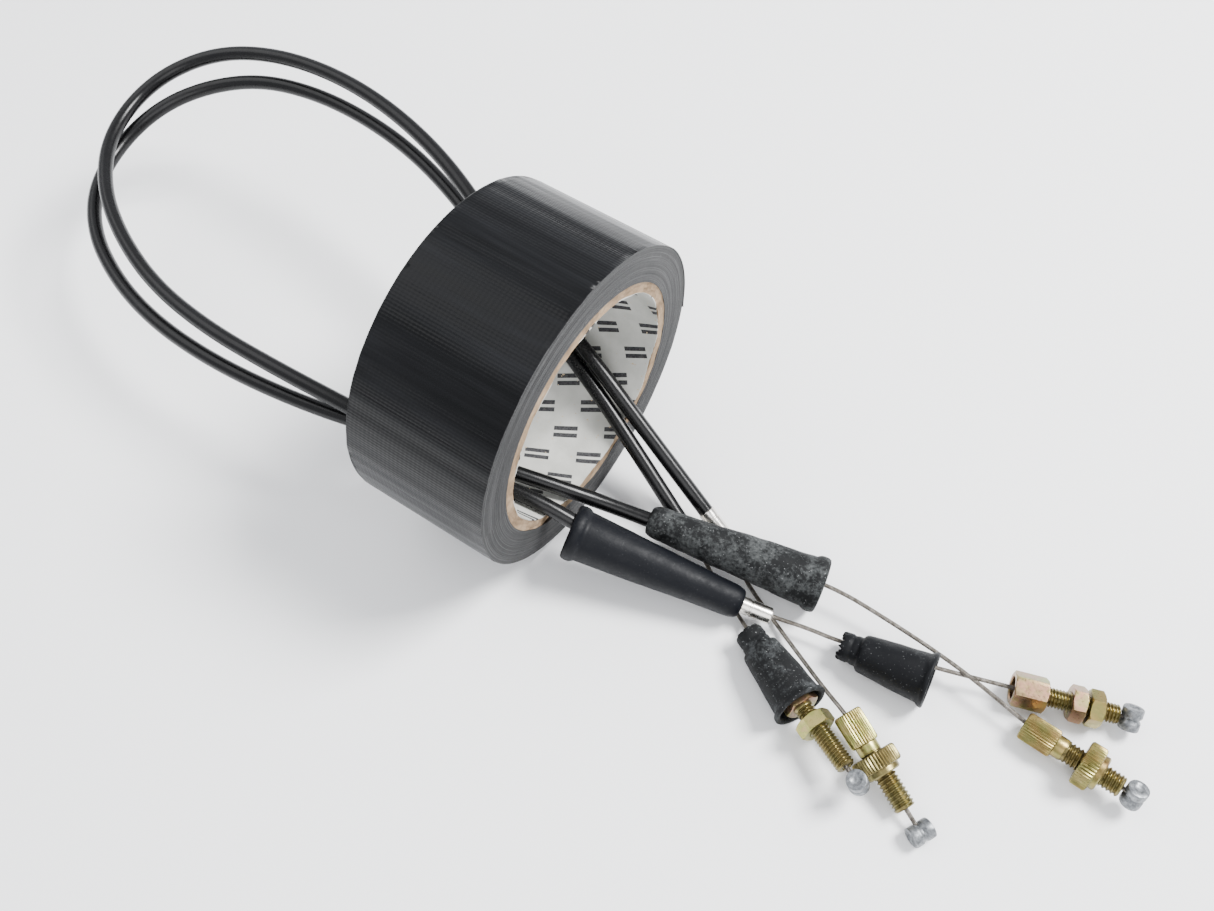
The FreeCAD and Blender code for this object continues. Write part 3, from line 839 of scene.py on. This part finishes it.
hex_adjuster("a_hex_adjuster", A_HEX, 12, MAT["pink"], "a_hex_adjuster")
hex_adjuster("b_hex_adjuster", B_HEX, 0, MAT["pink"], "b_hex_adjuster")
hex_nut("a_hex_lock_nut", A_HEX, 14.0, 12, MAT["pale"], "a_hex_lock_nut")
hex_nut("b_hex_lock_nut_1", B_HEX, 17.0, 0, MAT["pink"], "b_hex_lock_nut_1")
hex_nut("b_hex_lock_nut_2", B_HEX, 22.2, 17, MAT["gold"], "b_hex_lock_nut_2")
knurled_adjuster("a_knurl_adjuster", A_KNURL, MAT["gold"], "a_knurl_adjuster")
knurled_adjuster("b_knurl_adjuster", B_KNURL, MAT["pale"], "b_knurl_adjuster")
lock_nut("a_knurl_lock_nut", A_KNURL, 18.2, MAT["gold"], "a_knurl_lock_nut")
lock_nut("b_knurl_lock_nut", B_KNURL, 13.4, MAT["olive"], "b_knurl_lock_nut")
for prefix, end, gap, inside, axis in (
        ("a_hex", A_HEX, 5.4, 17.0, (-0.2, -0.2, 0.95)),
        ("a_knurl", A_KNURL, 3.7, 16.0, (0.1, 0.3, 0.95)),
        ("b_hex", B_HEX, 3.7, 13.5, (-0.3, 0.6, 0.7)),
        ("b_knurl", B_KNURL, 7.6, 12.0, (0.5, 0.85, 0.0))):
    nipple(prefix + "_nipple", end, gap, axis, prefix + "_end")
    wire_end(prefix, end, gap, inside, prefix + "_end")


# ------------------------------------------------------------------------------ boots
def refined(profile, step):
    out = []
    for (r0, z0), (r1, z1) in zip(profile, profile[1:] + profile[:1]):
        n = max(1, int(math.hypot(r1 - r0, z1 - z0) / step))
        out += [(r0 + (r1 - r0) * k / n, z0 + (z1 - z0) * k / n) for k in range(n)]
    return out


def boot(name, place, profile, material, slot, body, torn=0.0, oval=0.0, wrinkle=0.06):
    start, direction = place
    matrix = local_axes(start, direction)
    rings = []
    for k, (r, z) in enumerate(refined(profile, 0.7)):
        def ring(a, r=r, z=z):
            lumps = wrinkle * (math.sin(3 * a + 0.21 * z) + 0.6 * math.sin(7 * a - 0.5 * z)
                               + 0.4 * math.sin(0.9 * z + 2 * a))
            squash = oval * math.cos(2 * a)
            edge = torn * max(0.0, 1 - z / 2.2) * (0.5 + 0.5 * math.sin(5 * a + 1)
                                                   * math.sin(13 * a))
            return (r + lumps * 0.6 + squash, z + edge)
        rings.append(ring)
    verts, faces = ringed(rings, 96, matrix, True)
    obj = mesh_object(name + "_rubber", verts, faces, material, sharp=65)
    return stand_for(obj, body, slot, name)


def long_profile():
    end = LONG_BOOT
    return [(3.7, 0), (4.3, 0.25), (4.75, 0.9), (5.2, 2.3), (5.4, 4.0), (5.55, 8), (6.0, 16),
            (6.5, 24), (7.5, 40), (8.15, end - 6), (8.2, end - 4.6), (8.6, end - 4.0),
            (9.0, end - 3.2), (9.12, end - 2.2), (9.0, end - 1.0), (8.6, end - 0.25),
            (8.0, end), (7.5, end - 0.3), (7.2, end - 1.5), (6.6, end - 8), (5.6, 30),
            (4.4, 10), (2.9, 6.5), (2.9, 0.3), (3.2, 0)]


def small_profile():
    end = SMALL_BOOT
    return [(3.5, 0), (4.2, 0.2), (4.5, 0.8), (4.6, 3.4), (4.35, 3.9), (4.35, 4.4), (4.6, 4.9),
            (4.65, 6.4), (5.2, 6.8), (5.75, 7.2), (6.0, 8.0), (7.0, 17.0), (7.75, end - 2.4),
            (8.3, end - 1.7), (8.7, end - 1.1), (8.8, end - 0.4), (8.5, end), (7.5, end),
            (7.2, end - 0.3), (6.9, end - 1.2), (6.5, end - 5), (6.1, end - 14), (4.9, 9.5),
            (3.4, 7.5), (3.2, 0.3)]


boot("a_long_boot", A_BOOT, long_profile(), MAT["dusty"], "dusty_rubber", "a_long_boot",
     wrinkle=0.14, oval=0.12)
boot("b_long_boot", B_BOOT, long_profile(), MAT["blue_black"], "black_rubber", "b_long_boot",
     wrinkle=0.05, oval=0.05)
boot("a_small_boot", A_SMALL, small_profile(), MAT["speckled"], "dusty_rubber", "a_small_boot",
     wrinkle=0.12, torn=0.5)
boot("b_small_boot", B_SMALL, small_profile(), MAT["black"], "black_rubber", "b_small_boot",
     torn=1.6, wrinkle=0.08)


# ------------------------------------------------------------------- stage and camera
def floor():
    bpy.ops.mesh.primitive_plane_add(size=6.0, location=(0, 0, 0))
    obj = bpy.context.object
    obj.name = "floor"
    obj.data.materials.append(Shader("floor").finish((0.95, 0.955, 0.96), 0.75, specular=0.2))


def area_light(name, place, target, size, power, colour=(1, 1, 1)):
    data = bpy.data.lights.new(name, "AREA")
    data.shape = "SQUARE"
    data.size = size
    data.energy = power
    data.color = colour
    obj = bpy.data.objects.new(name, data)
    obj.location = place
    obj.rotation_euler = (Vector(target) - Vector(place)).to_track_quat("-Z", "Y").to_euler()
    bpy.context.collection.objects.link(obj)


floor()
area_light("key", (0.62, 0.62, 1.15), (0.02, 0, 0.03), 0.5, 52.0)
area_light("fill", (-0.9, -0.2, 1.3), (0, 0, 0.03), 1.2, 9.0)
area_light("front", (0.6, -0.9, 1.0), (0.05, 0, 0.03), 1.0, 9.0)
world = bpy.data.worlds.new("studio")
world.use_nodes = True
world.node_tree.nodes["Background"].inputs[0].default_value = (0.93, 0.95, 1.0, 1.0)
world.node_tree.nodes["Background"].inputs[1].default_value = 1.05
bpy.context.scene.world = world

CAMERA_PLACE = Vector((0.13705, -0.15979, 0.35152))
CAMERA_BACK = Vector((0.2870, -0.4288, 0.8566))
camera_data = bpy.data.cameras.new("camera")
camera_data.lens = 35.55
camera_data.sensor_width = 36.0
camera = bpy.data.objects.new("camera", camera_data)
camera.location = CAMERA_PLACE
camera.rotation_euler = (-CAMERA_BACK).to_track_quat("-Z", "Y").to_euler()
bpy.context.collection.objects.link(camera)
bpy.context.scene.camera = camera
